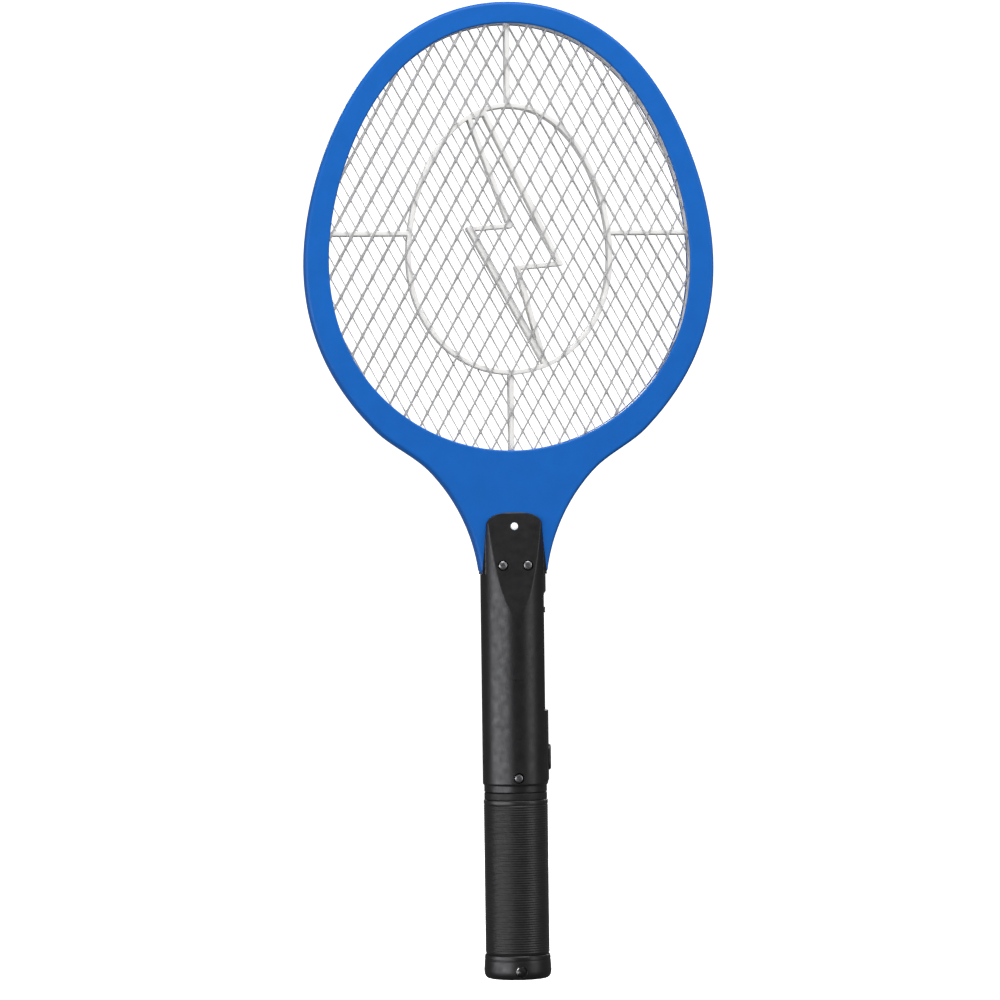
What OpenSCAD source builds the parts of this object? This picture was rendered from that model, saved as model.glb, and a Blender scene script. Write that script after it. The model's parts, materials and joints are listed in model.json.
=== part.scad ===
// Electric fly swatter: a pear-shaped head with three wire nets, a round battery handle and a
// twist-off ribbed battery sleeve.
// The handle's axis is Z, the front faces -Y, and the origin is at the middle of the end cap's foot.
// All sizes are in millimetres.

/* [Head] */
// Height of the top of the head above the foot of the handle
head_top = 500; // [480:1:520]
// Height of the lowest point of the pear outline
head_bottom = 246.8; // [240:0.1:250]
// Half of the head's width
head_half = 105.1; // [98:0.5:110]
// Top of the net opening
open_top = 489; // [484:0.5:490]
// Bottom of the net opening
open_bottom = 270.3; // [266:0.1:274]
// Half of the net opening's width
open_half = 92.3; // [88:0.1:93]
// Thickness of each half of the frame
frame_half_t = 7.5; // [7:0.1:9]
// Thickness of the lip that holds a net
lip_t = 1.5; // [1:0.1:2]
// How far the nets reach into the frame
rebate = 5; // [4:0.1:5.5]

/* [Nets] */
// Thickness of each net
net_t = 0.8; // [0.6:0.1:1]
// Width of one diamond of the net
cell_w = 10.9; // [9:0.1:14]
// Height of one diamond of the net
cell_h = 19.9; // [16:0.1:26]
// Width of a net strand
strand = 1.0; // [0.8:0.1:1.4]

/* [Spacers] */
// Width of a spacer's ribs
rib = 2.4; // [2:0.1:3]
// Half of the inner ring's width
ring_half = 52.7; // [50:0.1:55]
// Top of the inner ring
ring_top = 448.3; // [445:0.1:450]
// Bottom of the inner ring
ring_bottom = 309.2; // [306:0.1:312]

/* [Handle] */
// Outer radius of the upper handle
handle_r = 16.8; // [16.6:0.1:17.2]
// Wall thickness of the handle
wall = 2; // [1.8:0.1:2.2]
// Height where the full round of the handle ends
shoulder_z = 207; // [206:0.5:208]
// Height of the tongue's tip
tongue_top = 238.6; // [236:0.1:240]
// Height where the tongue's flat face starts
facet_z = 187.5; // [186:0.5:189]
// Angle of the tongue's flat face
facet_tilt = 8.8; // [8:0.1:9.2]
// Bottom of the handle shells
shell_bottom = 95.4; // [95:0.1:96]

/* [Battery sleeve] */
// Outer radius of the ribbed sleeve
sleeve_r = 16.5; // [16.3:0.1:16.8]
// Inner radius of the ribbed sleeve
sleeve_bore = 15; // [14.9:0.05:15.1]
// Top of the ribbed sleeve
sleeve_top = 91.5; // [91:0.1:92]
// Top of the end cap
cap_top = 12.3; // [12:0.1:13]
// Largest radius of the end cap
cap_r = 17.3; // [17.1:0.1:17.6]
// Radius of the hanging hole
hang_r = 2.75; // [2.5:0.05:2.9]
// Height of the hanging hole
hang_z = 4.2; // [4:0.1:5]

/* [Controls] */
// Height of the middle of the push button
button_z = 113; // [111:0.5:114]
// How far the button stands out of its pad
button_proud = 1.1; // [0.9:0.1:1.3]
// Height of the slide switch knob when off
knob_z = 188.5; // [187.5:0.5:189]

/* [Hidden] */
$fn = 72;

// Fullness of the outer outline and of the opening towards the handle
outer_shape = [1, 0.073, -0.05, -0.159];
open_shape = [1, 0.114, 0.038, -0.059];
outline_steps = 60;
// The throat follows a large circle on each side, and flows into the pear between two heights
throat_r = 93;
throat_z = 196;
throat_half = 16.4;
flow_bottom = 258;
flow_top = 284;
throat_steps = 26;
tang_bottom = 201;
tang_half = 12.5;
// Nets and spacers lie behind one another between the two lips
stack_half = frame_half_t - lip_t;
spacer_t = stack_half - 1.5 * net_t;
// Frame screws
frame_screw_r = 1.2;
frame_screw_head_r = 2;
frame_screw_head_t = 1.4;
frame_screw_turns = [-158, -115, -80, -45, 45, 80, 115, 158];
frame_screw_in = 3.1;
// Tabs at the bottom of the nets, in pockets that lead down to the handle
tab_x = 10;
tab_half = 2;
tab_bottom = 258;
wire_channel = 1.2;
earth_y = 1.2;
// Screws in the handle
neck_screw_x = 6.4;
neck_screw_z = 211.5;
lower_screw_z = 103;
screw_r = 1.4;
screw_head_r = 2.3;
led_z = 231.5;
led_r = 2.4;
// Side flat and switch pad on the +X side
flat_bottom = 137.3;
flat_top = 197;
flat_x = 15.1;
// The handle is a little thinner just above the locking ring
neck_r = 16.1;
neck_top = 99.3;
pad_bottom = 100.5;
pad_proud = 0.5;
button_h = 13.4;
button_w = 8;
button_travel = 1.2;
plunger_end = 6.4;
knob_travel = 4;
// Board, in the rear half of the handle
board_front = 3;
board_t = 1.6;
board_bottom = 108;
board_top = 183;
board_screw_x = -8.5;
board_screw_spots = [board_bottom + 4, board_top - 4];
// Cells
cell_r = 7.25;
cell_length = 50.5;
cell_x = 7.35;
contact_bottom = 33;
spring_gap = 5;
lead_x = 7;
lead_y = 2.6;
contact_top = contact_bottom + spring_gap + cell_length;
bore_r = handle_r - wall;

// Half-width of a pear outline at t, which runs from -1 at its top to 1 at its bottom
function pear(t, half, shape) =
    half * sqrt(max(0, 1 - t * t)) * (shape[0] + shape[1] * t + shape[2] * t * t + shape[3] * t * t * t);

// Right side of a pear from top to bottom, then its left side back up
function pear_points(top, bottom, half, shape, n = outline_steps) = [
    for (i = [0 : n - 1])
        let (turn = 180 * i / n, t = -cos(turn))
        [pear(t, half, shape), (top + bottom) / 2 - t * (top - bottom) / 2],
    for (i = [0 : n - 1])
        let (turn = 180 - 180 * i / n, t = -cos(turn))
        [-pear(t, half, shape), (top + bottom) / 2 - t * (top - bottom) / 2]];

// A flat outline drawn in X and Z, extruded from y0 to y1
module slab(y0, y1)
    translate([0, y1, 0]) rotate([90, 0, 0]) linear_extrude(y1 - y0) children();

// A rod along Y from y0 to y1
module rod_y(x, z, r, y0, y1)
    translate([x, y1, z]) rotate([90, 0, 0]) cylinder(r = r, h = y1 - y0);

// A rod along X from x0 to x1
module rod_x(y, z, r, x0, x1)
    translate([x0, y, z]) rotate([0, 90, 0]) cylinder(r = r, h = x1 - x0);

// A box given by its low and high corners
module block(low, high) translate(low) cube(high - low);

// The opening's outline, grown by some amount
module opening(grow = 0)
    polygon(pear_points(open_top + grow, open_bottom - grow, open_half + grow, open_shape));

// Half-width of the frame at a height: the throat's round curve, which flows into the pear
function edge_x(z) =
    let (t = (head_top + head_bottom - 2 * z) / (head_top - head_bottom),
         rise = max(0, min(1, (z - flow_bottom) / (flow_top - flow_bottom))),
         share = rise * rise * (3 - 2 * rise),
         throat_x = throat_half + throat_r - sqrt(throat_r * throat_r - (z - throat_z) * (z - throat_z)))
    throat_x + share * (pear(t, head_half, outer_shape) - throat_x);

// The head's pear, the throat below it and the tang that goes down into the handle
module frame_outline() {
    right = [
        for (p = pear_points(head_top, head_bottom, head_half, outer_shape))
            if (p[0] >= 0 && p[1] > flow_top) p,
        for (i = [0 : throat_steps])
            let (z = flow_top + (shoulder_z - flow_top) * i / throat_steps)
            [edge_x(z), z],
        [tang_half, shoulder_z],
        [tang_half, tang_bottom]];
    polygon([for (p = right) p, for (i = [len(right) - 1 : -1 : 1]) [-right[i][0], right[i][1]]]);
}

function screw_spot(turn) =
    let (t = -cos(turn))
    [sign(turn) * (pear(t, head_half, outer_shape) - frame_screw_in * abs(sin(turn))),
     (head_top + head_bottom) / 2 - t * ((head_top - head_bottom) / 2 - frame_screw_in)];

// One half of the frame, its front half at side = -1 and its rear half at side = 1
module frame_half(side) {
    y_out = side * frame_half_t;
    y_in = side * stack_half;
    difference() {
        slab(min(0, y_out), max(0, y_out)) frame_outline();
        slab(-10, 10) opening();
        slab(min(-side, y_in), max(-side, y_in)) opening(rebate);
        for (x = [-tab_x, 0])
            slab(min(-side, y_in), max(-side, y_in))
                translate([x - tab_half - 0.2, tab_bottom - 1.5]) square([2 * tab_half + 0.4, 12]);
        block([-tab_x - wire_channel, -wire_channel, 190], [-tab_x + wire_channel, wire_channel, tab_bottom]);
        block([-wire_channel, 0, 190], [wire_channel, earth_y + wire_channel, tab_bottom]);
        for (x = [-neck_screw_x, neck_screw_x])
            rod_y(x, neck_screw_z, screw_r + 0.3, -10, 10);
        rod_y(0, led_z, led_r + 0.3, -10, 0);
    }
}

module front_frame() color([0.09, 0.36, 0.7]) difference() {
    frame_half(-1);
    for (turn = frame_screw_turns)
        rod_y(screw_spot(turn)[0], screw_spot(turn)[1], frame_screw_r, -4.5, 1);
}

module rear_frame() color([0.09, 0.36, 0.7]) difference() {
    frame_half(1);
    for (turn = frame_screw_turns) {
        rod_y(screw_spot(turn)[0], screw_spot(turn)[1], frame_screw_r, -1, 9);
        rod_y(screw_spot(turn)[0], screw_spot(turn)[1], frame_screw_head_r + 0.2, 6, 9);
    }
}

module frame_screws() color([0.7, 0.7, 0.72])
    for (turn = frame_screw_turns) {
        rod_y(screw_spot(turn)[0], screw_spot(turn)[1], frame_screw_r, -4.5, 6.1);
        rod_y(screw_spot(turn)[0], screw_spot(turn)[1], frame_screw_head_r, 6, 6 + frame_screw_head_t);
    }

// A net of diamonds, moved along one of its two strands by part of a cell and sideways by some
// millimetres, with a tab at its bottom
module net(y, shift, aside, tab) {
    hole_w = cell_w - strand / cos(29);
    hole_h = hole_w * cell_h / cell_w;
    open_middle = (open_top + open_bottom) / 2;
    columns = ceil(open_half / cell_w) + 1;
    rows = ceil((open_top - open_bottom) / cell_h / 2) + 1;
    slab(y - net_t / 2, y + net_t / 2) difference() {
        opening(rebate - 0.3);
        intersection() {
            opening(rebate - 2);
            for (i = [-columns : columns])
                for (j = [-rows : rows])
                    for (half = [0, 0.5])
                        translate([aside, open_middle])
                            translate([(i + half + shift) * cell_w, (j + half + shift) * cell_h])
                                polygon([[hole_w, 0], [0, hole_h], [-hole_w, 0], [0, -hole_h]] / 2);
        }
    }
    tab_top = open_bottom - rebate + 1.5;
    block([tab - tab_half, y - net_t / 2, tab_bottom], [tab + tab_half, y + net_t / 2, tab_top]);
}

module front_net() color([0.62, 0.63, 0.65]) net(-(stack_half - net_t / 2), 0, 0, -tab_x);
module centre_net() color([0.62, 0.63, 0.65]) net(0, 0.25, 0.64, 0);
module rear_net() color([0.62, 0.63, 0.65]) net(stack_half - net_t / 2, 0, 1.28, -tab_x);

// A straight rib between two points of the XZ plane
module rib_line(a, b) {
    length = norm(b - a);
    angle = atan2(b[1] - a[1], b[0] - a[0]);
    translate(a) rotate(angle) translate([-rib / 2, -rib / 2]) square([length + rib, rib]);
}

module spacer(y0, y1) {
    middle = (ring_top + ring_bottom) / 2 + 3;
    // Corners of the zigzag brace, counted round it
    brace = [[-12, 443], [26, 366], [4, 364], [18, 314], [-20.5, 384], [0.5, 385.5], [-20, 441]];
    spokes = [
        [[-open_half - 2, middle], [-ring_half + 1, middle]],
        [[ring_half - 1, middle], [open_half + 2, middle]],
        [[0, ring_top - 1], [0, open_top + 2]],
        [[0, open_bottom - 2], [0, ring_bottom + 1]]];
    slab(y0, y1) difference() {
        opening(rebate - 0.3);
        opening(0.3);
    }
    slab(y0, y1) difference() {
        polygon(pear_points(ring_top, ring_bottom, ring_half, open_shape));
        polygon(pear_points(ring_top - rib, ring_bottom + rib, ring_half - rib, open_shape));
    }
    for (i = [0 : len(brace) - 1])
        slab(y0, y1) rib_line(brace[i], brace[(i + 1) % len(brace)]);
    for (spoke = spokes)
        slab(y0, y1) rib_line(spoke[0], spoke[1]);
}

module front_spacer() color([0.86, 0.87, 0.87]) spacer(-net_t / 2 - spacer_t, -net_t / 2);
module rear_spacer() color([0.86, 0.87, 0.87]) spacer(net_t / 2, net_t / 2 + spacer_t);

// Brass clip that joins the tabs of the two outer nets
module outer_net_terminal() color([0.75, 0.62, 0.35]) {
    inner = stack_half - net_t;
    for (side = [-1, 1])
        block([-tab_x - 1.5, min(side * inner, side * (inner - 0.4)), tab_bottom - 0.5],
            [-tab_x + 1.5, max(side * inner, side * (inner - 0.4)), tab_bottom + 4]);
    block([-tab_x - 1.5, -inner, tab_bottom - 1], [-tab_x + 1.5, inner, tab_bottom - 0.5]);
}

// Brass foot behind the centre net's tab
module centre_net_terminal() color([0.75, 0.62, 0.35]) {
    block([-1.5, net_t / 2, tab_bottom - 0.5], [1.5, net_t / 2 + 0.4, tab_bottom + 4]);
    block([-1.5, net_t / 2, tab_bottom - 1], [1.5, 2.2, tab_bottom - 0.5]);
}

// The handle's outer form: a round body with a flat-faced tongue on each side of the throat
module handle_form() {
    difference() {
        union() {
            translate([0, 0, shell_bottom]) cylinder(r = neck_r, h = 10);
            translate([0, 0, neck_top]) cylinder(r = handle_r, h = tongue_top - neck_top);
            intersection() {
                translate([0, 0, pad_bottom])
                    cylinder(r = handle_r + pad_proud, h = flat_bottom - pad_bottom);
                block([0, -9, pad_bottom], [20, 9, flat_bottom]);
            }
        }
        for (side = [-1, 1])
            translate([0, side * handle_r, facet_z]) rotate([side * facet_tilt, 0, 0])
                translate([-25, side > 0 ? 0 : -20, -0.2]) cube([50, 20, 70]);
        block([flat_x, -20, flat_bottom], [25, 20, flat_top]);
        tongue_sides();
        // Slot for the frame's throat
        block([-20, -frame_half_t, shoulder_z], [20, frame_half_t, tongue_top + 1]);
        block([-tang_half - 0.2, -frame_half_t, tang_bottom - 0.2],
            [tang_half + 0.2, frame_half_t, shoulder_z + 1]);
    }
}

// What is cut away beside the tongue, which has rounded corners
module tongue_sides() {
    corner = 6;
    top_half = 14.4;
    slab(-20, 20) difference() {
        translate([-20, shoulder_z]) square([40, tongue_top - shoulder_z + 1]);
        union() {
            polygon([[-handle_r, shoulder_z - 1], [handle_r, shoulder_z - 1], [top_half, tongue_top - corner],
                [-top_half, tongue_top - corner]]);
            translate([-top_half + corner, tongue_top - corner - 1])
                square([2 * (top_half - corner), corner + 1]);
            for (side = [-1, 1])
                translate([side * (top_half - corner), tongue_top - corner]) circle(corner);
        }
    }
}

module handle_cavity() {
    difference() {
        translate([0, 0, shell_bottom - 1]) cylinder(r = bore_r, h = 199 - shell_bottom + 1);
        block([flat_x - wall, -20, flat_bottom - wall], [20, 20, 200]);
        rod_y(0, lower_screw_z, 3.6, -20, 20);
        block([-20, -20, shell_bottom - 2], [20, 20, shell_bottom + 2]);
    }
    // Ways down into the battery holder, for the leads
    for (side = [-1, 1])
        translate([side * lead_x, lead_y, shell_bottom - 1]) cylinder(r = 1.3, h = 4);
    // Ways up to the tang for the head's wires
    for (x = [-tab_x, 0])
        block([x - 1.5, -1.5, 198], [x + 1.5, 2.7, tang_bottom]);
}

// The button's round-ended form, grown by some gap
module button_form(gap) {
    straight = (button_h - button_w) / 2;
    for (side = [-1, 1])
        rod_x(0, button_z + side * straight, button_w / 2 + gap, 12, 20);
    block([12, -button_w / 2 - gap, button_z - straight], [20, button_w / 2 + gap, button_z + straight]);
}

module knob_slot()
    block([10, -1.7, knob_z - 2], [20, 1.7, knob_z + 2 + knob_travel]);

module front_shell() color([0.16, 0.15, 0.16]) difference() {
    intersection() {
        handle_form();
        block([-20, -20, 90], [20, 0, 240]);
    }
    handle_cavity();
    button_form(0.25);
    knob_slot();
    for (x = [-neck_screw_x, neck_screw_x]) {
        rod_y(x, neck_screw_z, screw_r + 0.2, -20, 1);
        rod_y(x, neck_screw_z, screw_head_r + 0.3, -20, -11.2);
    }
    rod_y(0, lower_screw_z, screw_r + 0.2, -20, 1);
    rod_y(0, lower_screw_z, screw_head_r + 0.3, -20, -14.6);
    rod_y(0, led_z, led_r + 0.05, -20, 0);
}

module rear_shell() color([0.16, 0.15, 0.16]) difference() {
    intersection() {
        handle_form();
        block([-20, 0, 90], [20, 20, 240]);
    }
    difference() {
        handle_cavity();
        for (z = board_screw_spots) {
            rod_y(board_screw_x, z, 2, board_front + board_t, 14);
            rod_y(board_screw_x, z, 1.1, board_front - 1, 14);
        }
    }
    button_form(0.25);
    knob_slot();
    for (x = [-neck_screw_x, neck_screw_x])
        rod_y(x, neck_screw_z, screw_r, -1, 10.5);
    rod_y(0, lower_screw_z, screw_r, -1, 11);
}

module neck_screws() color([0.75, 0.76, 0.78])
    for (x = [-neck_screw_x, neck_screw_x])
        difference() {
            union() {
                rod_y(x, neck_screw_z, screw_r, -11.3, 10);
                rod_y(x, neck_screw_z, screw_head_r, -12.7, -11.2);
            }
            cross_recess(x, neck_screw_z, -12.7);
        }

module lower_screw() color([0.75, 0.76, 0.78])
    difference() {
        union() {
            rod_y(0, lower_screw_z, screw_r, -14.7, 10.5);
            rod_y(0, lower_screw_z, screw_head_r, -16.1, -14.6);
        }
        cross_recess(0, lower_screw_z, -16.1);
    }

module cross_recess(x, z, y)
    for (turn = [0, 90])
        translate([x, y, z]) rotate([0, turn, 0]) cube([2.6, 1.6, 0.7], center = true);

module indicator_led() color([0.95, 0.97, 1]) {
    rod_y(0, led_z, led_r, -9.6, -3);
    rod_y(0, led_z, led_r - 0.4, -10.4, -9.5);
}

module push_button() color([0.14, 0.13, 0.14]) {
    intersection() {
        button_form(0);
        translate([0, 0, button_z - 10]) cylinder(r = handle_r + pad_proud + button_proud, h = 20);
    }
    block([12, -5, button_z - 7.6], [13.3, 5, button_z + 7.6]);
}

module switch_plunger() color([0.8, 0.8, 0.8])
    rod_x(0, button_z, 1.7, plunger_end, 12);

module switch_body() color([0.25, 0.25, 0.27]) difference() {
    block([4.2, -3, button_z - 3], [8.2, 3, button_z + 3]);
    rod_x(0, button_z, 1.75, 7, 9);
    rod_x(0, button_z, 2.4, plunger_end - button_travel - 0.4, 7.4);
}

module switch_dome() color([0.8, 0.78, 0.7])
    rod_x(0, button_z, 2.1, plunger_end - 0.3, plunger_end - 0.05);

module slide_knob() color([0.14, 0.13, 0.14]) {
    block([10.4, -1.4, knob_z - 1.5], [flat_x + 1.4, 1.4, knob_z + 1.5]);
    block([10.4, -2.4, knob_z - 1.9], [11.4, 2.4, knob_z + 1.9]);
}

module slide_switch() color([0.55, 0.56, 0.58]) difference() {
    block([6.9, -3.4, knob_z - 4.5], [flat_x - wall, 3.4, knob_z + 8.5]);
    block([10.2, -2.7, knob_z - 2.2], [11.7, 2.7, knob_z + 2.2 + knob_travel]);
    block([11, -1.7, knob_z - 1.8], [14, 1.7, knob_z + 1.8 + knob_travel]);
}

module circuit_board() color([0.1, 0.35, 0.2]) difference() {
    block([-12, board_front, board_bottom], [10, board_front + board_t, board_top]);
    for (z = board_screw_spots)
        rod_y(board_screw_x, z, 1.15, 0, 8);
}

module transformer_core() color([0.3, 0.3, 0.32]) difference() {
    block([-8, -9, 124], [8, board_front, 140]);
    for (x = [-6, 2.5])
        block([x, -10, 127], [x + 3.5, board_front + 1, 137]);
}

module transformer_coil() color([0.78, 0.66, 0.25]) difference() {
    block([-5.9, -8.8, 127.1], [5.9, board_front - 0.2, 136.9]);
    block([-2.5, -9, 127], [2.5, board_front, 137]);
}

module storage_capacitor() color([0.65, 0.28, 0.12]) block([-8, -6, 160], [8.5, board_front, 175]);

module multiplier_capacitors() color([0.2, 0.4, 0.7])
    for (x = [-7.5, -2, 3.5])
        rod_x(-1.6, 145.5, 4.5, x, x + 3);

module multiplier_diodes() color([0.12, 0.12, 0.12])
    for (z = [152, 155, 158])
        rod_x(board_front - 1.35, z, 1.3, -5, 1);

module transistor() color([0.1, 0.1, 0.1]) difference() {
    rod_y(-6.5, 117, 2.4, -2, board_front);
    block([-10, -3, 110], [-8, 4, 125]);
}

module resistors() color([0.8, 0.7, 0.5])
    for (z = [143, 151])
        translate([-10.2, board_front - 1.15, z]) cylinder(r = 1.1, h = 6);

// A wire that climbs through a list of points, with a level eight-sided ring at each
module wire(points, r) {
    sides = 8;
    last = len(points) - 1;
    rings = [for (p = points) for (k = [0 : sides - 1])
        let (turn = 360 * k / sides)
        p + r * [cos(turn), sin(turn), 0]];
    skin = [for (i = [0 : last - 1]) for (k = [0 : sides - 1])
        let (a = i * sides + k, b = i * sides + (k + 1) % sides)
        [a, a + sides, b + sides, b]];
    foot = [for (k = [0 : sides - 1]) k];
    head = [for (k = [sides - 1 : -1 : 0]) last * sides + k];
    polyhedron(rings, concat(skin, [foot, head]));
}

module high_voltage_wire() color([0.75, 0.1, 0.1])
    wire([[-tab_x, 2, 162], [-tab_x, 0, 166], [-tab_x, 0, tab_bottom - 1]], 0.8);

module earth_wire() color([0.1, 0.1, 0.1])
    wire([[0, 2, 177], [0, earth_y, 186], [0, earth_y, tab_bottom - 1]], 0.7);

module battery_wires() color([0.7, 0.1, 0.1])
    for (side = [-1, 1])
        let (x = side * lead_x)
            wire([[x, lead_y, contact_top + 0.6], [x, lead_y, 100], [x, 2.1, 109]], 0.7);

// Ring that turns with the sleeve to lock it to the handle
module locking_ring() color([0.13, 0.12, 0.13]) difference() {
    translate([0, 0, sleeve_top + 0.05]) cylinder(r = neck_r, h = shell_bottom - sleeve_top - 0.1);
    translate([0, 0, sleeve_top - 1]) cylinder(r = sleeve_bore, h = 6);
}

module battery_sleeve() color([0.15, 0.14, 0.14]) difference() {
    translate([0, 0, cap_top]) cylinder(r = sleeve_r, h = sleeve_top - cap_top);
    translate([0, 0, cap_top - 1]) cylinder(r = sleeve_bore, h = sleeve_top);
}

module end_cap() color([0.14, 0.13, 0.14]) difference() {
    rotate_extrude() polygon([
        [0, 0], [cap_r - 3, 0], [cap_r - 1.2, 0.6], [cap_r - 0.3, 1.9], [cap_r, 4.5],
        [sleeve_r + 0.3, cap_top], [sleeve_bore - 0.05, cap_top], [sleeve_bore - 0.05, cap_top + 4],
        [sleeve_bore - 1.8, cap_top + 4], [sleeve_bore - 1.8, cap_top - 1], [0, cap_top - 1]]);
    rod_y(0, hang_z, hang_r, -20, 20);
}

module battery_holder() color([0.2, 0.2, 0.22]) {
    collar_bottom = contact_top + 0.6;
    plate_bottom = contact_bottom - 3;
    holder_r = sleeve_bore - 0.4;
    difference() {
        translate([0, 0, collar_bottom]) cylinder(r = holder_r, h = shell_bottom - collar_bottom);
        for (side = [-1, 1])
            translate([side * lead_x, lead_y, 80]) cylinder(r = 1.3, h = 20);
    }
    for (side = [-1, 1])
        intersection() {
            translate([0, 0, plate_bottom + 1]) cylinder(r = holder_r, h = shell_bottom - plate_bottom - 2);
            block([-5, side > 0 ? 7.9 : -15, plate_bottom], [5, side > 0 ? 15 : -7.9, shell_bottom]);
        }
    translate([0, 0, plate_bottom]) cylinder(r = holder_r, h = 2.5);
}

// A round cell standing at z, its small end up or down
module cell(x, z, up)
    translate([x, 0, z]) {
        translate([0, 0, up ? 0 : 1]) cylinder(r = cell_r, h = cell_length - 1);
        translate([0, 0, up ? cell_length - 1.1 : 0]) cylinder(r = 2.7, h = 1.1);
    }

module left_cell() color([0.75, 0.6, 0.25]) cell(-cell_x, contact_bottom + spring_gap, true);
module right_cell() color([0.75, 0.6, 0.25]) cell(cell_x, contact_bottom, false);

// A pressed coil spring from z up, as a stack of plain rings
module coil(x, z)
    for (i = [0 : 3])
        translate([x, 0, z + 0.45 + i * 1.3]) rotate_extrude() translate([3.4, 0]) circle(0.4, $fn = 16);

module cell_springs() color([0.75, 0.76, 0.78]) {
    coil(-cell_x, contact_bottom);
    coil(cell_x, contact_bottom + cell_length);
}

module cell_contacts() color([0.75, 0.76, 0.78]) {
    block([-12, -3.5, contact_bottom - 0.5], [12, 3.5, contact_bottom]);
    for (x = [-cell_x, cell_x])
        block([x - 4, -4, contact_top], [x + 4, 4, contact_top + 0.6]);
}

front_frame();
rear_frame();
front_net();
centre_net();
rear_net();
front_spacer();
rear_spacer();
frame_screws();
outer_net_terminal();
centre_net_terminal();
front_shell();
rear_shell();
neck_screws();
lower_screw();
indicator_led();
push_button();
switch_plunger();
switch_body();
switch_dome();
slide_knob();
slide_switch();
circuit_board();
transformer_core();
transformer_coil();
storage_capacitor();
multiplier_capacitors();
multiplier_diodes();
transistor();
resistors();
high_voltage_wire();
earth_wire();
battery_wires();
locking_ring();
battery_sleeve();
end_cap();
battery_holder();
left_cell();
right_cell();
cell_springs();
cell_contacts();
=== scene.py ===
import json
import math

import bmesh
import bpy
import numpy as np
from mathutils import Matrix, Vector


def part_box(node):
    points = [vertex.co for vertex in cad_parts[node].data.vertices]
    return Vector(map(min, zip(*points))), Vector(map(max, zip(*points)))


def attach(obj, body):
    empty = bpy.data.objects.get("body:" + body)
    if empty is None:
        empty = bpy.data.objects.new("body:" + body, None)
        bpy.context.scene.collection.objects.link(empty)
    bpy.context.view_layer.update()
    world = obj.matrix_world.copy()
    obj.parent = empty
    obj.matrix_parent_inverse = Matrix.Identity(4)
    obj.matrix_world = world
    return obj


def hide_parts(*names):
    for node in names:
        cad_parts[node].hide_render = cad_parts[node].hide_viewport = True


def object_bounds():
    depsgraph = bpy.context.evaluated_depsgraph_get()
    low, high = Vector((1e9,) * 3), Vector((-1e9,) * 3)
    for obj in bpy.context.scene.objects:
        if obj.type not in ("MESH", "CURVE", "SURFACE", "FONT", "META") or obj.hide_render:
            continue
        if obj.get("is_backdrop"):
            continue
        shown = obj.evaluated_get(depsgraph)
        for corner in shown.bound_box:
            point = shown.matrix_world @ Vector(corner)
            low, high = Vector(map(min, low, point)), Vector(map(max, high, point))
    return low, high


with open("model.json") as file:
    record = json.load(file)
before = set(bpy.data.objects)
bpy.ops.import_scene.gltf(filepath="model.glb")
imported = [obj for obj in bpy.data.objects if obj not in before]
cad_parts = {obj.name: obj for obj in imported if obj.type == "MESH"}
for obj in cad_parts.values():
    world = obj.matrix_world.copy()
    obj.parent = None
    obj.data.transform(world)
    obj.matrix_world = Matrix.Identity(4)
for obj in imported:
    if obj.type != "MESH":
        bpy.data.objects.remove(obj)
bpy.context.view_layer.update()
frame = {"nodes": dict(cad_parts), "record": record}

# Electric fly swatter. The handle's axis is Z, the front faces -Y, and sizes are in millimetres
# until make() turns them into metres.
MM = 0.001
BODY_OF = {n: body for body, nodes in frame["record"]["behaviour"]["bodies"].items() for n in nodes}


def box(node):
    """Low and high corner of a CAD node in millimetres."""
    low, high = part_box(node)
    return np.array(low) / MM, np.array(high) / MM


# ------------------------------------------------------------------ sizes, mm
# The head's pear outline and its opening, with how full each is towards the handle
HEAD = box("front_frame")
HEAD_TOP, HEAD_BOTTOM, HEAD_HALF = HEAD[1][2], 246.8, 105.08
OUTER_SHAPE = (1, 0.073, -0.05, -0.159)
OPEN_TOP, OPEN_BOTTOM, OPEN_HALF = 489.0, 270.3, 92.3
OPEN_SHAPE = (1, 0.114, 0.038, -0.059)
# The throat follows a large circle, and flows into the pear between two heights
THROAT_R, THROAT_X, THROAT_Z = 93.0, 109.4, 196.0
FLOW_BOTTOM, FLOW_TOP = 258.0, 284.0
SHOULDER_Z, TANG_Z, TANG_HALF = 207.0, HEAD[0][2], 12.5
FRAME_T = -HEAD[0][1]
# Half of the depth that the nets and spacers fill, and the nets' own sizes
STACK = 6.0
NET_Y, NET_HALF_T = 5.6, 0.4
CELL_W, CELL_H = 10.9, 19.9
TAB_X, TAB_HALF, TAB_BOTTOM = 10, 2, 258
RIB = 2.4
# Screws that join the frame, as turns from the top of the head
SCREW_TURNS = (-158, -115, -80, -45, 45, 80, 115, 158)
SCREW_IN = 3.1
FRAME_SCREW_Y = 6.0
# The handle
SHELL = box("front_shell")
SHELL_BOTTOM, TONGUE_TOP = SHELL[0][2], SHELL[1][2]
HANDLE_R, BORE_R = -SHELL[0][1], 14.8
NECK_R, NECK_TOP = 16.1, 99.3
FACET_Z, FACET_SLOPE = 187.5, math.tan(math.radians(8.8))
FLAT_BOTTOM, FLAT_TOP, FLAT_X = 137.3, 197.0, 15.1
PAD_BOTTOM, PAD_HALF, PAD_R = 100.5, 9.0, SHELL[1][0]
NECK_SCREW_X, NECK_SCREW_Z, NECK_SCREW_Y = 6.4, 211.5, -12.7
LOWER_SCREW_Z = float(np.mean([box("lower_screw")[0][2], box("lower_screw")[1][2]]))
LOWER_SCREW_Y = -16.1
SCREW_HEAD_R, SCREW_SHANK_R = 2.3, 1.4
LED_Z = float(np.mean([box("indicator_led")[0][2], box("indicator_led")[1][2]]))
LED_R = 1.85
BUTTON = box("push_button")
BUTTON_Z = float(BUTTON[0][2] + BUTTON[1][2]) / 2
KNOB = box("slide_knob")
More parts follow.
